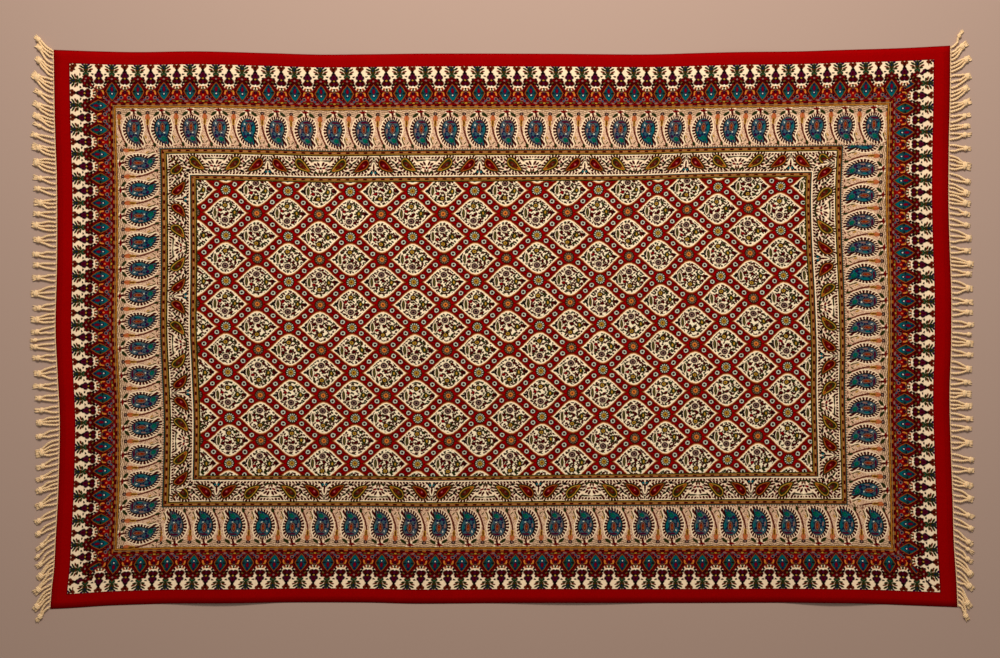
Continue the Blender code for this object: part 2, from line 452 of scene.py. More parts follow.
class Level:
    """A number that varies over the cloth: one output of a node."""

    def __init__(self, tree, socket):
        self.tree = tree
        self.socket = socket

    def calc(self, operation, *others, clamp=False):
        return calc(self.tree, operation, self, *others, clamp=clamp)

    def __add__(self, other):
        return self.calc("ADD", other)

    def __sub__(self, other):
        return self.calc("SUBTRACT", other)

    def __rsub__(self, other):
        return calc(self.tree, "SUBTRACT", other, self)

    def __mul__(self, other):
        return self.calc("MULTIPLY", other)

    def __abs__(self):
        return self.calc("ABSOLUTE")


def direction(degrees):
    """The cosine and sine of an angle."""
    angle = math.radians(degrees)
    return math.cos(angle), math.sin(angle)


def plug(value, socket):
    """Links a Level or another node's output to a socket, or sets the socket to a value."""
    if isinstance(value, Level):
        value = value.socket
    if isinstance(value, bpy.types.NodeSocket):
        socket.id_data.links.new(value, socket)
    else:
        socket.default_value = value


def add_node(tree, kind, inputs):
    """A shader node with the named inputs linked or set."""
    node = tree.nodes.new("ShaderNode" + kind)
    for name, value in inputs.items():
        plug(value, node.inputs[name])
    return node


def calc(tree, operation, *values, clamp=False):
    node = tree.nodes.new("ShaderNodeMath")
    node.operation = operation
    node.use_clamp = clamp
    for value, socket in zip(values, node.inputs):
        plug(value, socket)
    return Level(tree, node.outputs[0])


def mix(tree, share, low, high, way="MIX"):
    """A Mix node's colour from two others."""
    node = tree.nodes.new("ShaderNodeMix")
    node.data_type = "RGBA"
    node.blend_type = way
    for value, index in ((share, 0), (low, 6), (high, 7)):
        plug(value, node.inputs[index])
    return node.outputs[2]


def both(mask, *others):
    """Where all the masks are 1."""
    for other in others:
        mask = mask * other
    return mask


def less(level, limit, soft):
    """1 where the level is under the limit, fading over the width that soft gives."""
    return calc(level.tree, "MULTIPLY_ADD", level, -1 / soft, limit / soft + 0.5, clamp=True)


def more(level, limit, soft):
    return calc(level.tree, "MULTIPLY_ADD", level, 1 / soft, 0.5 - limit / soft, clamp=True)


def between(level, low, high, soft):
    return less(abs(level - (low + high) / 2), (high - low) / 2, soft)


def wrapped(level, period):
    """The level's distance from the nearest multiple of the period."""
    return level.calc("WRAP", period / 2, -period / 2)


def repeat_number(level, period):
    """Which multiple of the period the level is nearest to."""
    return (level * (1 / period)).calc("ROUND")


Mark = namedtuple("Mark", "x y long wide turn ink")


def surface(tree, colour, roughness, specular, relief):
    """The shader of a dull cotton surface; relief is a bump's strength, depth and height."""
    strength, depth, height = relief
    bump = add_node(tree, "Bump", {"Strength": strength, "Distance": depth, "Height": height})
    inputs = {
        "Base Color": colour,
        "Roughness": roughness,
        "Specular IOR Level": specular,
        "Normal": bump.outputs[0],
    }
    shader = add_node(tree, "BsdfPrincipled", inputs)
    add_node(tree, "OutputMaterial", {"Surface": shader.outputs[0]})


class Print:
    """A printed pattern drawn in a material's nodes, one ink over another."""

    def __init__(self, name, dyes, ground):
        self.material = bpy.data.materials.new(name)
        self.material.use_nodes = True
        self.tree = self.material.node_tree
        self.tree.nodes.clear()
        self.dyes = dyes
        self.colour = self.ink(ground)
        self.coordinates = self.tree.nodes.new("ShaderNodeTexCoord").outputs["Object"]
        chart = self.tree.nodes.new("ShaderNodeUVMap")
        chart.uv_map = "chart"
        wobble = self.noise_node(260.0, 1.0, 0.5)
        shifted = self.tree.nodes.new("ShaderNodeVectorMath")
        shifted.operation = "MULTIPLY_ADD"
        self.tree.links.new(wobble.outputs["Color"], shifted.inputs[0])
        shifted.inputs[1].default_value = (WOBBLE, WOBBLE, 0.0)
        self.tree.links.new(chart.outputs[0], shifted.inputs[2])
        place = self.tree.nodes.new("ShaderNodeSeparateXYZ")
        self.tree.links.new(shifted.outputs[0], place.inputs[0])
        self.x = Level(self.tree, place.outputs[0]) - WOBBLE / 2
        self.y = Level(self.tree, place.outputs[1]) - WOBBLE / 2

    def ink(self, name):
        return (*getattr(self.dyes, name), 1.0)

    def noise_node(self, scale, detail, roughness):
        inputs = {
            "Scale": scale,
            "Detail": detail,
            "Roughness": roughness,
            "Vector": self.coordinates,
        }
        return add_node(self.tree, "TexNoise", inputs)

    def noise(self, scale, detail=1.0, roughness=0.5):
        """Noise from 0 to 1 over the cloth, in patches of about one over the scale in metres."""
        return Level(self.tree, self.noise_node(scale, detail, roughness).outputs["Fac"])

    def chance(self, number):
        """A random number from 0 to 1 for each whole number."""
        node = self.tree.nodes.new("ShaderNodeTexWhiteNoise")
        node.noise_dimensions = "1D"
        plug(number, node.inputs["W"])
        return Level(self.tree, node.outputs["Value"])

    def blend(self, share, *colours):
        """A colour between two, each a dye's name or a colour already mixed."""
        low, high = (self.ink(c) if isinstance(c, str) else c for c in colours)
        return mix(self.tree, share, low, high)

    def stamp(self, mask, ink):
        """Prints an ink over what is there, where the mask is 1."""
        self.colour = self.blend(mask, self.colour, ink)

    def point(self, x, y):
        """The vector (x, y, 1), from which a mark's place is read."""
        node = self.tree.nodes.new("ShaderNodeCombineXYZ")
        plug(x, node.inputs[0])
        plug(y, node.inputs[1])
        node.inputs[2].default_value = 1.0
        return node.outputs[0]

    def affine(self, point, a, b, c):
        """a times x plus b times y plus c."""
        node = self.tree.nodes.new("ShaderNodeVectorMath")
        node.operation = "DOT_PRODUCT"
        self.tree.links.new(point, node.inputs[0])
        node.inputs[1].default_value = (a, b, c)
        return Level(self.tree, node.outputs["Value"])

    def oval(self, point, x, y, long, wide, turn=0.0):
        """How far out a point is from an oval's middle, squared: 1 at its edge."""
        c, s = direction(turn)
        along = self.affine(point, c / long, s / long, -(x * c + y * s) / long)
        across = self.affine(point, -s / wide, c / wide, (x * s - y * c) / wide)
        return across.calc("MULTIPLY_ADD", across, along * along)

    def filled_oval(self, point, x, y, long, wide, turn=0.0):
        return less(self.oval(point, x, y, long, wide, turn), 1.0, 0.4)

    def draw(self, point, marks):
        """Prints a chart of oval marks, each with its ink."""
        for mark in marks:
            oval = self.oval(point, mark.x, mark.y, mark.long, mark.wide, mark.turn)
            self.stamp(less(oval, 1.0, 0.5), mark.ink)

    def turn_round(self, x, y):
        """The angle of a direction, in turns."""
        return calc(self.tree, "ARCTAN2", x, y) * (0.5 / math.pi)

    def strokes(self, x, y, width, gap):
        """Short strokes packed side by side: their mask, and a random number for each."""
        cells = []
        place = self.point(x, y)
        for feature in ("DISTANCE_TO_EDGE", "F1"):
            cells.append(self.cells(place, feature, 1 / width))
        tone = self.cell_number(cells[1])
        mask = more(Level(self.tree, cells[0].outputs["Distance"]), gap / width / 2, 0.1)
        return mask, tone

    def cells(self, place, feature, scale):
        """Uneven cells over the chart."""
        node = self.tree.nodes.new("ShaderNodeTexVoronoi")
        node.voronoi_dimensions = "2D"
        node.feature = feature
        plug(scale, node.inputs["Scale"])
        plug(place, node.inputs["Vector"])
        return node

    def cell_number(self, cells):
        """A random number from 0 to 1 for each cell."""
        colours = add_node(self.tree, "SeparateColor", {"Color": cells.outputs["Color"]})
        return Level(self.tree, colours.outputs[0])

    def leaves(self, x, y, turn, long, wide, share):
        """Small leaves lying one way, scattered on a share of the places: their mask, and a
        random number for each."""
        c, s = direction(turn)
        place = self.point(x, y)
        along = self.affine(place, c / long, s / long, 0.0)
        across = self.affine(place, -s / wide, c / wide, 0.0)
        cells = self.cells(self.point(along, across), "F1", 1.0)
        tone = self.cell_number(cells)
        mask = less(Level(self.tree, cells.outputs["Distance"]), 0.38, 0.12)
        return both(mask, less(tone, share, 0.02)), tone

    def finish(self):
        """The cotton under the print: its yarns, its uneven dye and its dull surface."""
        wear = self.noise(9.0, 4.0, 0.6)
        mottle = self.noise(520.0, 2.0, 0.65)
        shade = wear * 0.3 + mottle * 0.6 + 0.54
        grey = self.tree.nodes.new("ShaderNodeCombineColor")
        for socket in grey.inputs[:3]:
            plug(shade, socket)
        darker = mix(self.tree, 1.0, self.colour, grey.outputs[0], "MULTIPLY")
        surface(self.tree, darker, 0.95, 0.02, (0.5, 0.25 * MM, self.weave()))
        return self.material

    def weave(self):
        """The height of a plain weave with uneven yarns."""
        heights = []
        for stretch in ((1700.0, 130.0, 1.0), (130.0, 1700.0, 1.0)):
            mapping = add_node(self.tree, "Mapping", {"Vector": self.coordinates, "Scale": stretch})
            inputs = {"Scale": 1.0, "Detail": 1.0, "Vector": mapping.outputs[0]}
            node = add_node(self.tree, "TexNoise", inputs)
            heights.append(Level(self.tree, node.outputs["Fac"]))
        return heights[0] + heights[1]


def print_red(dyes):
    """The dyed border, with painted shade of the hem: darker along its inner edge, where it meets the
    print, and along its outer edge, with a faint painted crease line of the hem's fold between.
    """
    cotton = Print("red_border", dyes, "red")
    y = cotton.y
    # Painted shade along the inner edge, where the hem's fold lies
    cotton.stamp(more(y, 14.2, 1.0) * 0.75, "maroon")
    # Painted shade along the outer edge of the hem
    cotton.stamp(less(y, 0.9, 1.0) * 0.55, "maroon")
    # A faint painted crease line where the hem is folded
    cotton.stamp(between(y, 4.8, 5.2, 0.6) * 0.2, "maroon")
    return cotton.finish()


PALMETTE_MARKS = (
    # The fronds, from the outer edge inwards
    Mark(2.6, 0.8, 2.2, 1.1, -40, "navy"),
    Mark(4.3, 2.9, 2.8, 1.05, -32, "leaf"),
    Mark(5.0, 5.4, 2.5, 1.0, -22, "brown"),
    Mark(3.8, 7.4, 2.2, 1.05, -8, "leaf"),
    Mark(0.0, 4.2, 2.6, 4.6, 0, "leaf"),
    Mark(0.0, 3.4, 0.7, 1.5, 0, "navy"),
    Mark(1.6, 5.6, 0.9, 0.6, -30, "brown"),
    # The leafy body
    Mark(0.0, 10.3, 3.3, 2.5, 0, "leaf"),
    Mark(0.0, 10.2, 1.6, 1.0, 0, "green"),
    Mark(0.0, 10.6, 0.9, 0.8, 0, "brown"),
    # The dark red body over the diamond
    Mark(0.0, 14.8, 4.2, 3.3, 0, "maroon"),
    Mark(4.6, 16.4, 3.0, 1.9, -24, "maroon"),
    Mark(2.5, 14.4, 1.2, 0.8, -12, "crimson"),
    Mark(0.0, 14.7, 1.0, 0.9, 0, "mauve"),
    Mark(4.2, 17.0, 1.2, 0.7, 40, "olive"),
    Mark(6.6, 18.8, 1.6, 1.3, 40, "black"),
    Mark(2.6, 18.9, 1.3, 0.9, -50, "black"),
)
DIAMOND_MARKS = (
    Mark(0.0, 21.4, 1.3, 1.2, 0, "navy"),
    Mark(0.0, 25.4, 2.2, 3.2, 0, "navy"),
    Mark(0.0, 25.4, 1.1, 2.3, 0, "crimson"),
    Mark(0.0, 30.2, 1.8, 1.9, 0, "navy"),
    Mark(0.0, 29.9, 0.7, 0.8, 0, "pale"),
    Mark(3.9, 27.4, 1.7, 0.7, 0, "black"),
)
VASE_MARKS = (
    # The crown at the edge, and its neck
    Mark(1.9, 1.6, 2.1, 1.9, 0, "brown"),
    Mark(0.0, 3.6, 2.2, 2.0, 0, "brown"),
    Mark(0.0, 2.2, 1.3, 1.3, 0, "maroon"),
    Mark(0.0, 6.6, 3.2, 1.25, 90, "black"),
    # The spade
    Mark(0.0, 9.2, 3.4, 2.6, 90, "black"),
    Mark(0.0, 11.4, 4.5, 3.0, 0, "black"),
    Mark(0.0, 10.6, 2.5, 2.2, 90, "plum"),
    Mark(0.0, 12.2, 3.2, 1.3, 0, "plum"),
    Mark(0.0, 11.0, 0.8, 1.6, 0, "maroon"),
    # The lobed foot
    Mark(0.0, 15.6, 3.6, 2.6, 0, "black"),
    Mark(0.0, 17.6, 5.3, 3.3, 0, "black"),
    Mark(2.6, 17.6, 1.8, 2.0, 0, "maroon"),
    Mark(0.0, 17.8, 1.0, 2.3, 0, "plum"),
    Mark(0.0, 14.3, 1.0, 0.8, 0, "ochre"),
    Mark(0.0, 20.9, 1.0, 0.9, 0, "white"),
    Mark(0.0, 23.0, 1.2, 0.8, 0, "black"),
    Mark(2.7, 23.0, 1.5, 0.8, 24, "rust"),
    Mark(0.0, 25.0, 1.5, 0.9, 0, "olive"),
    # On the crimson ground
    Mark(0.0, 28.3, 1.7, 1.7, 0, "black"),
    Mark(0.0, 28.3, 0.9, 0.9, 0, "plum"),
    Mark(4.3, 28.6, 3.0, 1.6, 82, "maroon"),
    Mark(4.2, 29.0, 2.0, 0.85, 80, "orange"),
    Mark(3.4, 27.0, 1.2, 0.6, 10, "ochre"),
    Mark(0.0, 32.7, 1.6, 2.3, 0, "red"),
    Mark(0.0, 31.6, 0.8, 0.9, 0, "orange"),
    Mark(3.8, 34.0, 2.0, 1.8, 0, "mauve"),
    Mark(3.8, 34.0, 1.2, 1.1, 0, "navy"),
    Mark(3.3, 37.6, 1.6, 0.8, 12, "olive"),
    Mark(0.0, 38.0, 1.3, 0.8, 0, "ochre"),
    Mark(6.6, 36.0, 1.4, 1.0, 40, "blue"),
    Mark(8.8, 38.2, 1.7, 0.9, 0, "mauve"),
    Mark(6.4, 32.8, 1.0, 1.2, 0, "black"),
    Mark(10.0, 35.4, 1.1, 0.9, 0, "plum"),
)


def print_trefoil(dyes):
    """The outer floral band: palmettes over diamonds, and vases hung between them."""
    cotton = Print("trefoil_print", dyes, "cream")
    number = repeat_number(cotton.x, 26.0)
    side = abs(wrapped(cotton.x, 26.0))
    y = cotton.y
    away = 13.0 - side
    centre = cotton.point(side, y)
    vase = cotton.point(away, y)
    ground = cotton.oval(vase, 0.0, 14.8, 8.5, 10.7)
    # The crimson ground with its darker patches
    inner = both(more(y, 12.4, 0.8), more(ground, 1.0, 0.15))
    cotton.stamp(inner, "crimson")
    patches, tone = cotton.strokes(side, y, 2.8, 0.5)
    cotton.stamp(both(inner, patches, more(tone, 0.38, 0.1)), "maroon")
    cotton.stamp(both(inner, patches, more(tone, 0.84, 0.1)), "mauve")
    cotton.stamp(both(inner, patches, less(tone, 0.10, 0.05)), "black")
    # The string of dark beads round the vase
    turn = cotton.turn_round(away, (y - 14.8) * 0.72)
    beads = less(abs(wrapped(turn, 1 / 15)), 0.021, 0.008)
    cotton.stamp(both(beads, between(ground, 0.56, 1.05, 0.1), more(y, 9.4, 0.6)), "black")
    cotton.draw(centre, PALMETTE_MARKS)
    # The diamond in its frame
    rise = abs(y - 27.8) * (1 / 9.7)
    edge = rise * (rise * 0.4 + 0.6) + side * (1 / 6.2)
    own = cotton.chance(number)
    cotton.stamp(less(edge, 1.25, 0.14), "maroon")
    cotton.stamp(less(edge, 1.02, 0.1), "rust")
    cotton.stamp(less(edge, 0.92, 0.1), "leaf")
    inside = less(edge, 0.84, 0.1)
    cotton.stamp(inside, cotton.blend(own, "green", "teal"))
    cotton.stamp(both(inside, more(tone, 0.62, 0.1)) * 0.6, "leaf")
    feathers = less(abs(wrapped(y, 2.6)), 0.6, 0.3)
    cotton.stamp(both(feathers, inside) * 0.55, "navy")
    cotton.stamp(cotton.filled_oval(centre, 0.0, 31.2, 2.6, 3.6), "teal")
    cotton.draw(centre, DIAMOND_MARKS)
    cotton.draw(vase, VASE_MARKS)
    return cotton.finish()


def print_stripe(dyes):
    """The narrow yellow stripe with its dark dashes."""
    cotton = Print("stripe_print", dyes, "rust")
    x = wrapped(cotton.x, 8.0)
    y = cotton.y
    cotton.stamp(between(y, 0.3, 1.1, 0.5) * 0.3, "ochre")
    cotton.stamp(both(less(abs(x), 2.4, 0.8), less(y, 3.2, 0.6)), "maroon")
    cotton.stamp(both(more(abs(x), 2.5, 0.8), between(y, 1.4, 3.0, 0.5)), "olive")
    cotton.stamp(between(y, 1.9, 2.3, 0.5) * 0.5, "apricot")
    cotton.stamp(between(y, 3.5, 4.3, 0.5) * 0.8, "ochre")
    cotton.stamp(more(y, 4.5, 0.5), "leaf")
    return cotton.finish()


def print_guard(dyes):
    """The narrow guard line on each side of the vine."""
    cotton = Print("guard_print", dyes, "rust")
    x = abs(wrapped(cotton.x, 8.8))
    y = cotton.y
    cotton.stamp(more(y, 3.2, 0.8) * 0.7, "olive")
    cotton.stamp(less(y, 3.2, 0.8) * 0.35, "olive")
    cotton.stamp(between(y, 2.5, 3.1, 0.5) * 0.35, "apricot")
    cotton.stamp(both(less(x, 1.9, 0.8), between(y, 1.8, 3.9, 0.6)), "maroon")
    cotton.stamp(between(y, 3.9, 4.5, 0.4) * 0.6, "ochre")
    cotton.stamp(less(y, 1.4, 0.5), "leaf")
    cotton.stamp(less(y, 0.5, 0.5) * 0.6, "blue")
    cotton.stamp(more(y, 4.9, 0.5), "leaf")
    return cotton.finish()


Girth = namedtuple("Girth", "y middle half")

# The paisley's body, and the outer ends of the dashes round it
BODY = (
    Girth(10.0, 0.0, 0.0),
    Girth(10.8, 0.0, 2.8),
    Girth(12.0, 0.0, 4.6),
    Girth(15.0, 0.0, 6.6),
    Girth(19.0, 0.0, 7.5),
    Girth(23.0, -0.1, 7.2),
    Girth(26.0, -0.3, 6.1),
    Girth(29.0, 0.1, 5.3),
    Girth(31.5, 1.1, 4.7),
    Girth(33.7, 2.8, 3.6),
    Girth(35.3, 4.2, 2.2),
    Girth(36.3, 5.2, 0.0),
)
RING = (
    Girth(7.0, 0.0, 0.0),
    Girth(7.7, 0.2, 4.4),
    Girth(10.0, 0.2, 7.6),
    Girth(15.0, -0.2, 9.7),
    Girth(19.0, -0.4, 10.6),
    Girth(23.0, -0.5, 10.3),
    Girth(26.0, -0.6, 9.5),
    Girth(29.0, -0.3, 8.5),
    Girth(31.5, 0.7, 8.2),
    Girth(34.0, 1.9, 7.9),
    Girth(36.4, 3.4, 6.1),
    Girth(38.2, 4.6, 3.2),
    Girth(38.9, 4.8, 0.0),
)
PAISLEY_MARKS = (
    # The eye and what lies round it
    Mark(0.2, 12.4, 3.2, 1.1, 0, "plum"),
    Mark(-4.6, 16.4, 2.2, 0.8, 72, "blue"),
    Mark(-5.2, 21.2, 2.4, 0.8, 96, "mauve"),
    Mark(5.0, 19.4, 2.6, 1.0, 95, "teal"),
    Mark(0.5, 19.2, 5.4, 3.0, 90, "black"),
    Mark(0.5, 19.2, 4.5, 2.2, 90, "mauve"),
    Mark(0.5, 19.2, 3.7, 1.5, 90, "maroon"),
    Mark(0.5, 19.3, 2.6, 0.9, 90, "rust"),
    Mark(0.6, 19.9, 1.2, 0.6, 90, "crimson"),
    Mark(-3.4, 15.4, 1.2, 0.6, 70, "pale"),
    Mark(-2.8, 23.8, 1.4, 0.6, 96, "blue"),
    Mark(-2.8, 28.0, 2.0, 1.6, 30, "navy"),
    Mark(-2.6, 27.8, 1.0, 0.8, 30, "plum"),
    Mark(2.0, 24.6, 0.9, 0.6, 0, "pale"),
    Mark(1.9, 30.8, 2.8, 2.0, 40, "green"),
    Mark(1.6, 30.4, 1.2, 0.9, 0, "teal"),
)
BASE_MARKS = (
    # The flower and leaves at the paisley's base
    Mark(-3.6, 3.2, 1.2, 1.1, 0, "cream"),
    Mark(-1.7, 4.8, 1.0, 1.3, 0, "cream"),
    Mark(2.9, 3.6, 1.1, 1.4, 0, "cream"),
    Mark(2.8, 0.9, 1.1, 0.8, 0, "cream"),
    Mark(0.2, 3.9, 4.6, 1.0, 76, "maroon"),
    Mark(-2.0, 2.1, 2.1, 0.9, 15, "crimson"),
    Mark(1.7, 2.0, 1.6, 0.8, 15, "crimson"),
    Mark(-5.5, 5.7, 3.6, 1.5, -38, "leaf"),
    Mark(6.0, 5.2, 3.7, 1.5, 38, "leaf"),
)
BUD_MARKS = (
    # The bud on its stem between two paisleys
    Mark(0.0, 4.5, 2.1, 1.9, 0, "black"),
    Mark(0.0, 4.5, 0.9, 0.8, 0, "mauve"),
    Mark(-0.1, 9.2, 3.4, 2.5, 90, "rust"),
    Mark(-1.1, 8.6, 2.3, 0.9, 90, "salmon"),
    Mark(1.0, 8.8, 1.9, 0.6, 90, "salmon"),
    Mark(-0.2, 13.8, 3.6, 1.5, 90, "ochre"),
    Mark(-0.2, 13.4, 2.8, 0.7, 90, "brown"),
    Mark(-4.2, 30.4, 2.8, 0.9, 82, "olive"),
    Mark(-2.4, 28.6, 1.9, 0.7, 60, "ochre"),
    Mark(-2.6, 33.8, 2.1, 0.7, 62, "olive"),
    Mark(-5.2, 35.6, 2.0, 0.7, -30, "olive"),
    Mark(1.2, 33.6, 1.9, 0.6, 130, "olive"),
    Mark(-5.4, 21.4, 2.0, 0.5, 100, "apricot"),
    Mark(4.6, 37.4, 1.8, 0.6, 20, "brown"),
    Mark(-1.4, 37.4, 1.8, 0.6, -10, "brown"),
)


def girth_curve(cotton, y, rows, column):
    """A column of a girth table along the motif, as a curve node."""
    # The node's curve runs from 0 to 1, which stands for this many steps
    reach = 24.0
    node = cotton.tree.nodes.new("ShaderNodeFloatCurve")
    low = rows[0].y
    span = rows[-1].y - low
    plug(calc(cotton.tree, "MULTIPLY_ADD", y, 1 / span, -low / span), node.inputs["Value"])
    points = node.mapping.curves[0].points
    while len(points) < len(rows):
        points.new(0.5, 0.5)
    for point, row in zip(points, rows):
        point.location = ((row.y - low) / span, getattr(row, column) / reach + 0.5)
    node.mapping.update()
    curve = Level(cotton.tree, node.outputs[0])
    return calc(cotton.tree, "MULTIPLY_ADD", curve, reach, -0.5 * reach)


def girth_edge(cotton, x, y, rows):
    """How far a point is outside a shape given by a girth table, in steps; negative inside."""
    middle = girth_curve(cotton, y, rows, "middle")
    half = girth_curve(cotton, y, rows, "half")
    sideways = abs(x - middle) - half
    over = calc(cotton.tree, "MAXIMUM", rows[0].y - y, y - rows[-1].y)
    return sideways.calc("MAXIMUM", over)


def print_paisley(dyes):
    """The paisley band: large cones standing on their flowers, with a bud between each two."""
    cotton = Print("paisley_print", dyes, "tan")
    speckle = cotton.noise(800.0, 1.0, 0.6)
    cotton.stamp(more(speckle, 0.55, 0.1) * 0.8, "mauve")
    cotton.stamp(less(speckle, 0.42, 0.1) * 0.6, "cream")
    number = repeat_number(cotton.x, 28.8)
    x = wrapped(cotton.x, 28.8)
    gap_x = wrapped(cotton.x + 14.3, 28.8)
    y = cotton.y
    # Thin waving lines along the stripe, and dashes along the guard
    waves = wrapped(y + (gap_x * 0.45).calc("COSINE") * 0.7, 1.9)
    cotton.stamp(both(less(abs(waves), 0.4, 0.3), less(y, 6.8, 1.0)) * 0.8, "olive")
    ticks = both(less(abs(wrapped(cotton.x, 2.6)), 0.6, 0.4), more(y, 38.4, 0.6))
    cotton.stamp(ticks * 0.8, "leaf")
    gap = cotton.point(gap_x, y)
    ring = girth_edge(cotton, x, y, RING)
    cotton.draw(gap, BUD_MARKS)
    stem_y = y - 12.0
    stem = abs(gap_x - (stem_y * stem_y * 0.0125 - 0.8))
    cotton.stamp(both(less(stem, 0.9, 0.5), between(y, 16.6, 36.6, 0.6)), "brown")
    cotton.stamp(cotton.filled_oval(gap, 6.3, 36.4, 2.4, 1.4, 70), "leaf")
    cotton.stamp(less(ring, 1.2, 0.6), "cream")
    turn = cotton.turn_round(x, (y - 21.0) * 0.72)
    dashes = less(abs(wrapped(turn, 1 / 26)), 0.0137, 0.006)
    cotton.stamp(both(less(ring, 0.2, 0.4), dashes), "maroon")
    body = girth_edge(cotton, x, y, BODY)
    cotton.stamp(less(body, 0.6, 0.5), "black")
    tone = cotton.chance(number)
    cotton.stamp(less(body, -0.6, 0.5), cotton.blend(tone * 0.5, "teal", "mauve"))
    cells, shade = cotton.strokes(x, y, 2.6, 0.4)
    inside = both(less(body, -0.8, 0.5), cells)
    cotton.stamp(both(inside, more(shade, 0.48, 0.05)), "navy")
    cotton.stamp(both(inside, less(shade, 0.2, 0.05)), "blue")
    cotton.stamp(both(inside, between(shade, 0.3, 0.38, 0.03)), "plum")
    motif = cotton.point(x, y)
    cotton.draw(motif, PAISLEY_MARKS)
    cotton.draw(motif, BASE_MARKS)
    return cotton.finish()


VINE_MARKS = (
    # The spray at one mirror line of the repeat
    Mark(0.0, 9.0, 9.6, 6.2, 0, "cream"),
    Mark(2.3, 7.9, 2.5, 1.1, 118, "maroon"),
    Mark(5.0, 8.7, 2.3, 1.1, 140, "maroon"),
    Mark(7.4, 10.4, 2.0, 1.0, 150, "black"),
    Mark(3.2, 11.9, 2.2, 1.0, 160, "crimson"),
    Mark(0.0, 12.2, 1.2, 1.2, 0, "black"),
    Mark(6.2, 13.2, 1.8, 1.0, 170, "maroon"),
    Mark(0.0, 6.6, 0.9, 1.8, 0, "white"),
    Mark(1.4, 15.2, 1.8, 0.8, 95, "brown"),
    Mark(6.0, 15.4, 2.2, 1.0, 150, "leaf"),
    Mark(6.0, 4.5, 6.4, 0.75, 2, "leaf"),
    Mark(3.4, 17.4, 4.0, 0.7, -4, "leaf"),
    Mark(11.6, 2.6, 2.3, 1.1, 120, "maroon"),
    # The star between the two cones
    Mark(27.0, 6.2, 1.5, 1.3, 0, "rose"),
    Mark(30.8, 8.6, 1.4, 1.1, 0, "black"),
    Mark(26.4, 12.4, 1.5, 1.3, 0, "rose"),
    Mark(27.2, 16.6, 1.8, 1.5, 0, "black"),
    Mark(33.8, 6.4, 2.8, 0.9, 150, "leaf"),
    Mark(30.4, 15.6, 2.4, 0.9, 150, "leaf"),
    Mark(43.6, 2.2, 2.4, 0.9, 50, "black"),
    # The stroke at the other mirror line
    Mark(50.0, 4.2, 3.6, 0.6, -8, "leaf"),
    Mark(53.1, 12.0, 6.0, 2.4, 90, "cream"),
    Mark(53.1, 12.0, 4.5, 0.95, 90, "maroon"),
    Mark(53.1, 2.2, 1.3, 0.9, 90, "black"),
    Mark(49.0, 8.0, 1.3, 1.3, 0, "plum"),
    Mark(50.4, 16.6, 3.8, 0.95, -52, "black"),
    Mark(51.6, 16.8, 1.2, 1.1, 0, "teal"),
)
Cone = namedtuple("Cone", "x y turn half_length half_width outline body core spot tail")
CONES = (
    Cone(18.4, 10.2, -38.0, 8.6, 5.0, "ochre", "leaf", "brown", "mauve", "rust"),
    Cone(41.3, 10.9, -37.0, 8.5, 4.9, "rust", "maroon", "crimson", "rose", "brown"),
)


def print_vine(dyes):
    """The narrow band of small slanting cones, mirrored along its length."""
    cotton = Print("vine_print", dyes, "cream")
    side = abs(wrapped(cotton.x, 106.2))
    y = cotton.y
    point = cotton.point(side, y)
    # Small dark strokes fill the ground, and stand along its edges
    ground = between(y, 2.4, 18.6, 0.5)
    for turn in (50.0, -55.0):
        cells, shade = cotton.leaves(side, y, turn, 4.4, 2.8, 0.85)
        cotton.stamp(both(cells, ground), cotton.blend(more(shade, 0.6, 0.1), "maroon", "leaf"))
    ticks = less(abs(wrapped(side + y * 0.35, 3.2)), 1.15, 0.3)
    rows = abs(y - 10.4)
    cotton.stamp(more(rows, 7.0, 0.5), "cream")
    cotton.stamp(both(ticks, between(rows, 7.2, 9.5, 0.5)), "maroon")
    cotton.draw(point, VINE_MARKS)
    for cone in CONES:
        c, s = direction(cone.turn)
        long = cone.half_length
        # From -1 at the curled tail to 1 at the blunt head
        along = cotton.affine(point, c / long, s / long, -(cone.x * c + cone.y * s) / long)
        across = cotton.affine(point, -s, c, cone.x * s - cone.y * c)
        bent = across + (along + 0.2) * (along + 0.2) * 0.9
        girth = (1.0 - along * along).calc("MAXIMUM", 0.0).calc("SQRT")
        girth = girth * (along * 0.36 + 0.72) * cone.half_width
        edge = (abs(bent) - girth).calc("MAXIMUM", (abs(along) - 1.0) * long)
        turn = cotton.turn_round(bent, along * cone.half_width * 1.2)
        hairs = less(abs(wrapped(turn, 1 / 16)), 0.0225, 0.005)
        cotton.stamp(less(edge, 4.2, 0.4), "cream")
        cotton.stamp(both(less(edge, 4.0, 0.4), hairs), "maroon")
        cotton.stamp(less(edge, 1.5, 0.4), "leaf")
        cotton.stamp(less(edge, 0.1, 0.4), cone.outline)
        cotton.stamp(less(edge, -0.8, 0.4), cone.body)
        inner = cotton.point(along * long, bent)
        cotton.stamp(cotton.filled_oval(inner, 0.8, 0.0, 4.4, 1.9), cone.core)
        cotton.stamp(cotton.filled_oval(inner, 2.0, 0.5, 1.2, 0.8), cone.spot)
        cotton.stamp(both(less(edge, -1.0, 0.4), cells) * 0.7, "maroon")
        cotton.stamp(cotton.filled_oval(inner, -6.0, 0.0, 2.2, 0.9), cone.tail)
    return cotton.finish()


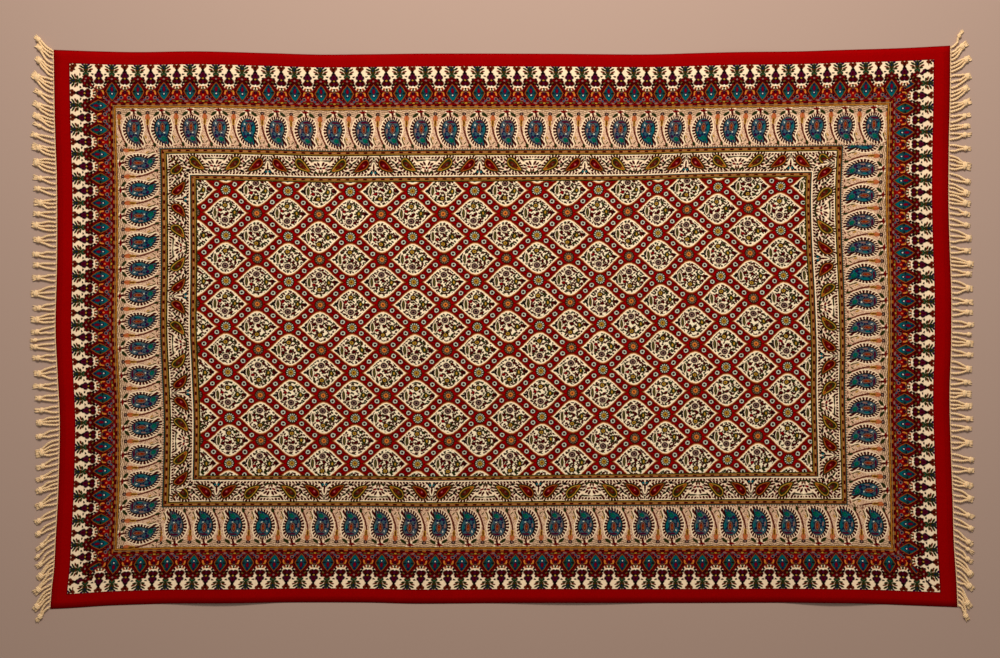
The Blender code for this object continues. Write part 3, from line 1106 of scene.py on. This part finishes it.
OGEE_MARKS = (
    # The pointed ends
    Mark(-16.4, 0.0, 2.2, 1.1, 0, "black"),
    Mark(-13.8, -1.9, 1.9, 1.0, -45, "black"),
    Mark(-13.8, 1.9, 1.9, 1.0, 45, "black"),
    Mark(15.2, 0.0, 2.7, 1.8, 0, "maroon"),
    Mark(15.9, 0.0, 1.4, 0.9, 0, "black"),
    # The long leaf and the two-lobed flower
    Mark(-10.7, 0.0, 5.4, 2.4, 90, "cream"),
    Mark(-10.8, 0.0, 4.7, 1.6, 90, "leaf"),
    Mark(-10.8, 0.0, 3.2, 0.6, 90, "olive"),
    Mark(-6.6, 2.8, 2.1, 1.7, 0, "maroon"),
    Mark(-6.2, -2.6, 1.9, 1.6, 0, "crimson"),
    # A round flower to each side
    Mark(-1.0, 7.3, 4.1, 3.6, 0, "cream"),
    Mark(-1.0, 7.3, 3.4, 3.0, 0, "black"),
    Mark(-1.0, 7.3, 2.1, 1.8, 0, "mauve"),
    Mark(-1.0, 7.3, 1.3, 1.1, 0, "black"),
    Mark(-0.8, -7.4, 3.1, 2.7, 0, "black"),
    Mark(-0.8, -7.4, 1.9, 1.6, 0, "ochre"),
    Mark(-0.8, -7.4, 0.9, 0.8, 0, "olive"),
    # The middle and its leaves
    Mark(-1.8, 0.2, 1.6, 0.6, 35, "white"),
    Mark(0.8, 1.4, 2.3, 1.6, -30, "maroon"),
    Mark(2.6, -1.6, 1.6, 0.6, 35, "white"),
    Mark(8.6, -0.4, 3.2, 2.5, 90, "leaf"),
    Mark(8.8, -0.4, 1.5, 0.9, 90, "ochre"),
    Mark(5.0, 8.6, 2.6, 1.3, -30, "maroon"),
    Mark(5.4, -8.4, 2.4, 1.2, 38, "leaf"),
)


def print_field(dyes):
    """The field: a red lattice of rosettes round cream medallions full of leaves."""
    cotton = Print("field_print", dyes, "red")
    half_x = LATTICE_X / 2
    half_y = LATTICE_Y / 2
    u = cotton.x * (0.5 / half_x)
    v = cotton.y * (0.5 / half_y)
    r = u + v
    q = u - v
    near_r = wrapped(r, 1.0)
    near_q = wrapped(q, 1.0)
    own_r = r.calc("WRAP", 1.0, 0.0) - 0.5
    own_q = q.calc("WRAP", 1.0, 0.0) - 0.5
    # Three ring dots on dark ground between each rosette and the next
    for run, across in ((own_r, near_q), (own_q, near_r)):
        x = (run + across) * half_x
        y = (run - across) * half_y
        strip = both(less(abs(across), 0.12, 0.04), less(abs(run), 0.32, 0.08))
        cotton.stamp(strip * 0.7, "maroon")
        cotton.stamp(both(strip, less(abs(wrapped(y - x * 0.4, 2.9)), 0.6, 0.4)) * 0.6, "red")
        nearest = (y * (1 / 5.75)).calc("ROUND").calc("MINIMUM", 1.0).calc("MAXIMUM", -1.0)
        place = cotton.point(x - nearest * 6.5, y - nearest * 5.75)
        dot = cotton.oval(place, 0.0, 0.0, 2.9, 2.7)
        cotton.stamp(less(dot, 0.95, 0.3), "black")
        cotton.stamp(less(dot, 0.58, 0.2), "pale")
        cotton.stamp(less(dot, 0.2, 0.16), "black")
    # Medallions
    x = (own_r + own_q) * half_x
    y = (own_r - own_q) * half_y
    row = r.calc("FLOOR") - q.calc("FLOOR")
    reach = abs(x) * (1 / 21.6)
    edge = reach * reach * (2.2 - reach * 1.2) + abs(y) * (1 / 15.9)
    cotton.stamp(less(edge, 1.1, 0.05), "maroon")
    cotton.stamp(less(edge, 1.05, 0.05), "rust")
    cotton.stamp(less(edge, 0.99, 0.04), "apricot")
    cotton.stamp(less(edge, 0.96, 0.04), "white")
    flip = row.calc("WRAP", 2.0, 0.0) * 2.0 - 1.0
    y = y * flip
    inside = less(edge, 0.88, 0.04)
    for turn, offset in ((38.0, 31.0), (-44.0, 17.0)):
        leaf, tone = cotton.leaves(x + row * offset, y, turn, 3.7, 2.3, 0.92)
        ink = cotton.blend(more(tone, 0.6, 0.1), "maroon", "leaf")
        cotton.stamp(both(leaf, inside), ink)
    cotton.draw(cotton.point(x, y), OGEE_MARKS)
    # Rosettes
    rose_x = (near_r + near_q) * half_x
    rose_y = (near_r - near_q) * half_y
    rosette = cotton.oval(cotton.point(rose_x, rose_y), 0.0, 0.0, 5.0, 4.8)
    petals = less(abs(wrapped(cotton.turn_round(rose_x, rose_y), 1 / 12)), 0.019, 0.014)
    odd = abs(wrapped(r.calc("ROUND") + q.calc("ROUND"), 2.0))
    cotton.stamp(less(rosette, 1.3, 0.2), "maroon")
    cotton.stamp(less(rosette, 1.0, 0.2), "leaf")
    cotton.stamp(both(less(rosette, 0.8, 0.15), petals), cotton.blend(odd, "pale", "mauve"))
    cotton.stamp(less(rosette, 0.34, 0.1), "olive")
    cotton.stamp(less(rosette, 0.2, 0.1), cotton.blend(odd, "ochre", "orange"))
    cotton.stamp(less(rosette, 0.04, 0.04), "brown")
    return cotton.finish()


PRINTS = {
    "red": print_red,
    "trefoil": print_trefoil,
    "stripe": print_stripe,
    "paisley": print_paisley,
    "guard": print_guard,
    "vine": print_vine,
    "field": print_field,
}


def lay_cloth(sizes, dyes):
    """The sheet: a grid along the bands' lines, charted, laid down and given its thickness."""
    columns = grid_lines("left", "right", STEPS_LONG, FIELD_COLUMNS)
    rows = grid_lines("top", "bottom", STEPS_WIDE, FIELD_ROWS)
    last_column = len(columns) - 1
    last_row = len(rows) - 1
    bm = bmesh.new()
    bmesh.ops.create_grid(bm, x_segments=last_column, y_segments=last_row, size=1.0)
    place = {}
    for vert in bm.verts:
        column = round((vert.co.x + 1) / 2 * last_column)
        row = round((1 - vert.co.y) / 2 * last_row)
        place[vert] = (column, row)
    split_corners(bm, place, last_column, last_row)
    chart = bm.loops.layers.uv.new("chart")
    bake = bm.loops.layers.uv.new("OFBake")
    names = list(PRINTS)
    for face in bm.faces:
        band, side = where_printed(face, place, last_column, last_row)
        face.material_index = names.index(BANDS[band].print if side else "field")
        face.smooth = True
        for loop in face.loops:
            column, row = place[loop.vert]
            x, y = columns[column], rows[row]
            if side:
                loop[chart].uv = band_chart(band, side, x, y)
            else:
                loop[chart].uv = field_chart(x, y)
            loop[bake].uv = (x / STEPS_LONG, 1 - y / STEPS_WIDE)
    for vert, (column, row) in place.items():
        x = columns[column] * STEP - CLOTH_LENGTH / 2
        y = CLOTH_WIDTH / 2 - rows[row] * STEP
        vert.co = laid(x, y)
    mesh = bpy.data.meshes.new("cloth_printed")
    bm.to_mesh(mesh)
    bm.free()
    cloth = add_piece(
        "cloth_printed", mesh, [make(dyes) for make in PRINTS.values()]
    )
    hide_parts("cloth")
    thickness = cloth.modifiers.new("thickness", "SOLIDIFY")
    thickness.thickness = sizes.cloth_thickness
    thickness.offset = 1.0
    return cloth


def split_corners(bm, place, last_column, last_row):
    """Cuts the squares on each corner's mitre from corner to corner."""
    depth = sum(band.pieces for band in BANDS)
    vert_at = {spot: vert for vert, spot in place.items()}
    for k in range(depth):
        for column, inner_column in ((k, k + 1), (last_column - k, last_column - k - 1)):
            for row, inner_row in ((k, k + 1), (last_row - k, last_row - k - 1)):
                pair = [vert_at[(column, row)], vert_at[(inner_column, inner_row)]]
                bmesh.ops.connect_verts(bm, verts=pair)


def where_printed(face, place, last_column, last_row):
    """A face's band and side, or no side where it belongs to the field."""
    spots = [place[vert] for vert in face.verts]
    column = sum(spot[0] for spot in spots) / len(spots)
    row = sum(spot[1] for spot in spots) / len(spots)
    depths = {
        "left": column,
        "right": last_column - column,
        "top": row,
        "bottom": last_row - row,
    }
    side = min(depths, key=depths.get)
    band = band_at(int(depths[side]))
    if band is None:
        return None, None
    if BANDS[band].print == "paisley":
        across = min(("left", "right"), key=depths.get)
        down = min(("top", "bottom"), key=depths.get)
        if band_at(int(depths[across])) == band and band_at(int(depths[down])) == band:
            side = PAISLEY_CORNERS[(across, down)]
    return band, side


def strand_roots():
    """The middle of each strand's root, from -1 to 1 along the end."""
    return [(2 * k + 1) / STRANDS_PER_END - 1 for k in range(STRANDS_PER_END)]


def tufts():
    """The strand roots in groups, one group to a tuft."""
    roots = strand_roots()
    groups = []
    while roots:
        size = TUFT_SIZES[len(groups) % len(TUFT_SIZES)]
        groups.append(roots[:size])
        roots = roots[size:]
    return groups


def add_thread(curve, points, radii):
    """One thread of a curve object, through points with a radius at each."""
    spline = curve.splines.new("POLY")
    spline.points.add(len(points) - 1)
    for point, place, radius in zip(spline.points, points, radii):
        point.co = (*place, 1.0)
        point.radius = radius


def bezier(points, t):
    a, b, c, d = points
    return a * (1 - t) ** 3 + b * 3 * t * (1 - t) ** 2 + c * 3 * t**2 * (1 - t) + d * t**3


def twist_strand(curve, route, ply, rng):
    """Two plies wound round each other along a route from the cloth's end to the knot."""
    length = sum((route[k + 1] - route[k]).length for k in range(3))
    turns = length / (TWIST_TURN * ply)
    steps = max(12, round(turns * TWIST_STEPS))
    start = rng.uniform(0, 2 * math.pi)
    sway = rng.uniform(-0.9, 0.9) * MM
    waves = rng.uniform(1.0, 1.8)
    for side in (0.0, math.pi):
        points = []
        radii = []
        for k in range(steps + 1):
            t = k / steps
            forward = (bezier(route, min(t + 0.02, 1)) - bezier(route, max(t - 0.02, 0))).normalized()
            sideways = Vector((-forward.y, forward.x, 0.0))
            angle = start + side + 2 * math.pi * turns * t
            # It comes out of the edge thin and low, and thickens as the plies loosen
            grown = min(0.55 + 4.0 * t, 1.0)
            drift = sway * math.sin(2 * math.pi * waves * t) * math.sin(math.pi * t)
            at = bezier(route, t) + sideways * (math.cos(angle) * ply * PLY_OFFSET * grown + drift)
            at.z = ply * 2.1 * grown + math.sin(angle) * ply * PLY_OFFSET * grown
            points.append(at)
            radii.append(grown)
        add_thread(curve, points, radii)


def tie_knot(curve, at, along, reach, ply):
    """A thread wound a little over twice round the tuft."""
    sideways = Vector((-along.y, along.x, 0.0))
    steps = 22
    turns = 2.3
    points = []
    for k in range(steps):
        t = k / (steps - 1)
        angle = t * turns * 2 * math.pi + 0.4
        swell = math.sin(t * math.pi) * 0.25 + 0.85
        point = at + along * (t - 0.5) * ply * 4.4
        point += sideways * math.cos(angle) * reach * swell
        point.z = ply * 2.45 + math.sin(angle) * ply * 1.05 * swell
        points.append(point)
    add_thread(curve, points, [1.3] * steps)


def fray_tail(curve, at, along, length, reach, ply, count, rng):
    """The loose fibres past the knot."""
    sideways = Vector((-along.y, along.x, 0.0))
    for k in range(count):
        lane = (k + 0.5) / count * 2 - 1 + rng.uniform(-0.15, 0.15)
        own = length * rng.uniform(0.82, 1.04)
        drift = rng.uniform(-0.12, 0.12) * own
        height = ply * rng.uniform(0.7, 2.4)
        points = []
        radii = []
        for step in range(6):
            t = step / 5
            spread = reach * (0.72 + 0.36 * math.sin(t * 2.2))
            wave = math.sin(t * 5 + k) * ply * 0.35
            point = at + along * own * t + sideways * (lane * spread + drift * t * t + wave)
            point.z = height * (1 - 0.55 * t) + ply * 0.5
            points.append(point)
            radii.append(0.72 - 0.2 * t)
        add_thread(curve, points, radii)


def lay_heading(curve, half_length, side):
    """The undyed weft at the cloth's end, two threads twisted round each other."""
    pitch = 4.6 * MM
    steps_per_turn = 5
    winding_mm = 0.35
    steps = round(CLOTH_WIDTH / pitch * steps_per_turn)
    for turn in (0.0, math.pi):
        points = []
        for k in range(steps + 1):
            at = laid(half_length, (k / steps - 0.5) * (CLOTH_WIDTH - 2 * MM))
            angle = turn + 2 * math.pi * k / steps_per_turn
            at.x += side * (0.5 * MM + math.cos(angle) * winding_mm * MM)
            at.z = (0.8 + math.sin(angle) * winding_mm) * MM
            points.append(at)
        add_thread(curve, points, [0.45] * len(points))


def lay_tuft(curve, group, side, lean, reach, ply, looks):
    """The strands of one tuft, its knot and its loose ends."""
    half_length = side * CLOTH_LENGTH / 2
    middle = sum(group) / len(group)
    heart = laid(half_length, middle * CLOTH_WIDTH / 2)
    heart.z = 0.0
    along = Vector((side * math.cos(lean), math.sin(lean), 0.0))
    upwards = Vector((-math.sin(lean) * side, math.cos(lean), 0.0))
    knot_at = heart + along * reach * looks.uniform(0.68, 0.86)
    knot_at += upwards * looks.uniform(-1.8, 1.8) * MM
    count = len(group) + (looks.random() < 0.1 + 0.5 * abs(middle))
    for k in range(count):
        root = middle + ((2 * k + 1) / count - 1) * len(group) / STRANDS_PER_END
        start = laid(half_length, root * CLOTH_WIDTH / 2) - Vector((side * 0.3 * MM, 0, 0))
        start.z = 0.0
        place = k - (count - 1) / 2
        end = knot_at + upwards * place * ply * 2.1
        # The strands of a tuft stay apart, then turn in to the knot
        bow = upwards * (place * looks.uniform(0.6, 3.6) + looks.uniform(-0.8, 0.8)) * MM
        outwards = Vector((side, 0.6 * along.y, 0.0)) * reach * 0.38
        turning = end - along * reach * 0.22 + bow
        twist_strand(curve, [start, start + outwards + bow * 0.5, turning, end], ply, looks)
    width = ply * (1.0 + 0.9 * count)
    tie_knot(curve, knot_at, along, width, ply)
    tail = reach * 1.04 - (knot_at - heart).length
    fray_tail(curve, knot_at, along, tail, width, ply, 5 * count, looks)


def mesh_of_threads(curve, name):
    """A curve object's threads as one smooth mesh, its doubles merged and its faces outwards."""
    threads = bpy.data.objects.new(name + "_threads", curve)
    bpy.context.scene.collection.objects.link(threads)
    bpy.context.view_layer.update()
    mesh = bpy.data.meshes.new_from_object(threads)
    bpy.data.objects.remove(threads)
    mesh.name = name
    bm = bmesh.new()
    bm.from_mesh(mesh)
    bmesh.ops.remove_doubles(bm, verts=bm.verts, dist=0.02 * MM)
    bmesh.ops.recalc_face_normals(bm, faces=bm.faces)
    bm.to_mesh(mesh)
    bm.free()
    mesh.shade_smooth()
    mesh.materials.clear()
    return mesh


def lay_fringe(name, node, side, lean_table, length, sizes, material):
    """One end's fringe: twisted strands tied in tufts."""
    rng = random.Random(node)
    looks = random.Random(name)
    ply = sizes.ply_radius
    curve = bpy.data.curves.new(name, "CURVE")
    curve.dimensions = "3D"
    curve.fill_mode = "FULL"
    curve.bevel_depth = ply
    curve.bevel_resolution = 0
    curve.use_fill_caps = True
    for group in tufts():
        middle = sum(group) / len(group)
        lean = curve_through(lean_table, middle) + rng.uniform(-LEAN_JITTER, LEAN_JITTER)
        reaches = [length * (1 + rng.uniform(-LENGTH_JITTER, LENGTH_JITTER)) for _ in group]
        reach = sum(reaches) / len(reaches)
        lay_tuft(curve, group, side, math.radians(lean), reach, ply, looks)
    lay_heading(curve, side * CLOTH_LENGTH / 2, side)
    fringe = add_piece(name, mesh_of_threads(curve, name), [material])
    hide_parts(node)


def thread_material(dyes):
    """Undyed cotton thread, a little darker and yellower here and there."""
    material = bpy.data.materials.new("fringe_thread")
    material.use_nodes = True
    tree = material.node_tree
    tree.nodes.clear()
    place = tree.nodes.new("ShaderNodeTexCoord").outputs["Object"]
    patches = add_node(tree, "TexNoise", {"Scale": 70.0, "Detail": 3.0, "Vector": place})
    aged = (*(c * 0.86 for c in dyes.thread), 1.0)
    colour = mix(tree, patches.outputs["Fac"], aged, (*dyes.thread, 1.0))
    fibres = add_node(tree, "TexNoise", {"Scale": 2400.0, "Vector": place})
    surface(tree, colour, 0.9, 0.15, (0.4, 0.15 * MM, fibres.outputs["Fac"]))
    return material


def plain_material(name, colour, roughness):
    material = bpy.data.materials.new(name)
    material.use_nodes = True
    shader = material.node_tree.nodes["Principled BSDF"]
    shader.inputs["Base Color"].default_value = (*colour, 1.0)
    shader.inputs["Roughness"].default_value = roughness
    return material


class TABLECLOTH_OT_stage(bpy.types.Operator):
    """Sets up the camera, the soft light and the plain pale floor"""

    bl_idname = "tablecloth.stage"
    bl_label = "Set the stage"

    def execute(self, context):
        scene = context.scene
        lens = bpy.data.cameras.new("camera")
        lens.lens = LENS_MM
        lens.sensor_width = SENSOR_MM
        camera = bpy.data.objects.new("camera", lens)
        scene.collection.objects.link(camera)
        camera.location = (*VIEW_CENTRE, VIEW_WIDTH * LENS_MM / SENSOR_MM)
        scene.camera = camera
        scene.view_settings.view_transform = "Standard"
        world = bpy.data.worlds.new("soft_sky")
        scene.world = world
        world.use_nodes = True
        sky = world.node_tree.nodes["Background"]
        sky.inputs["Color"].default_value = SKY_COLOUR
        sky.inputs["Strength"].default_value = SKY_STRENGTH
        panel = bpy.data.lights.new("softbox", "AREA")
        panel.shape = "RECTANGLE"
        panel.size, panel.size_y = SOFTBOX_SIZE
        panel.energy = SOFTBOX_WATTS
        panel.color = SOFTBOX_COLOUR
        softbox = bpy.data.objects.new("softbox", panel)
        scene.collection.objects.link(softbox)
        softbox.location = SOFTBOX_PLACE
        aim = SOFTBOX_TARGET - SOFTBOX_PLACE
        softbox.rotation_euler = aim.to_track_quat("-Z", "Y").to_euler()
        bm = bmesh.new()
        bmesh.ops.create_grid(bm, x_segments=1, y_segments=1, size=FLOOR_HALF_SIZE)
        mesh = bpy.data.meshes.new("floor")
        bm.to_mesh(mesh)
        bm.free()
        mesh.materials.append(plain_material("pale_floor", scene.tablecloth_dyes.floor, 0.9))
        ground = bpy.data.objects.new("floor", mesh)
        scene.collection.objects.link(ground)
        return {"FINISHED"}


class TABLECLOTH_OT_fringes(bpy.types.Operator):
    """Makes the twisted and knotted fringe at each end"""

    bl_idname = "tablecloth.fringes"
    bl_label = "Make the fringes"

    def execute(self, context):
        scene = context.scene
        sizes = scene.tablecloth_sizes
        thread = thread_material(scene.tablecloth_dyes)
        lay_fringe(
            "fringe_left_threads", "fringe_left", -1, LEFT_LEAN, sizes.left_strand, sizes, thread
        )
        lay_fringe(
            "fringe_right_threads", "fringe_right", 1, RIGHT_LEAN, sizes.right_strand, sizes, thread
        )
        return {"FINISHED"}


class TABLECLOTH_OT_cloth(bpy.types.Operator):
    """Lays the printed cloth"""

    bl_idname = "tablecloth.cloth"
    bl_label = "Lay the printed cloth"

    def execute(self, context):
        scene = context.scene
        cloth = lay_cloth(scene.tablecloth_sizes, scene.tablecloth_dyes)
        return {"FINISHED"}


class TABLECLOTH_PT_panel(bpy.types.Panel):
    """The steps and sizes of the tablecloth"""

    bl_idname = "TABLECLOTH_PT_panel"
    bl_label = "Tablecloth"
    bl_space_type = "VIEW_3D"
    bl_region_type = "UI"
    bl_category = "Tablecloth"

    def draw(self, context):
        layout = self.layout
        for operator in OPERATORS:
            layout.operator(operator.bl_idname)
        for group in (context.scene.tablecloth_sizes, context.scene.tablecloth_dyes):
            for name in group.bl_rna.properties.keys():
                if name not in ("rna_type", "name"):
                    layout.prop(group, name)


OPERATORS = (TABLECLOTH_OT_stage, TABLECLOTH_OT_fringes, TABLECLOTH_OT_cloth)
CLASSES = (TableclothSizes, TableclothDyes, *OPERATORS, TABLECLOTH_PT_panel)


def register():
    for cls in CLASSES:
        bpy.utils.register_class(cls)
    bpy.types.Scene.tablecloth_sizes = bpy.props.PointerProperty(type=TableclothSizes)
    bpy.types.Scene.tablecloth_dyes = bpy.props.PointerProperty(type=TableclothDyes)


def unregister():
    del bpy.types.Scene.tablecloth_dyes
    del bpy.types.Scene.tablecloth_sizes
    for cls in reversed(CLASSES):
        bpy.utils.unregister_class(cls)


def main():
    register()
    bpy.ops.tablecloth.stage()
    bpy.ops.tablecloth.fringes()
    bpy.ops.tablecloth.cloth()


if __name__ == "__main__":
    main()
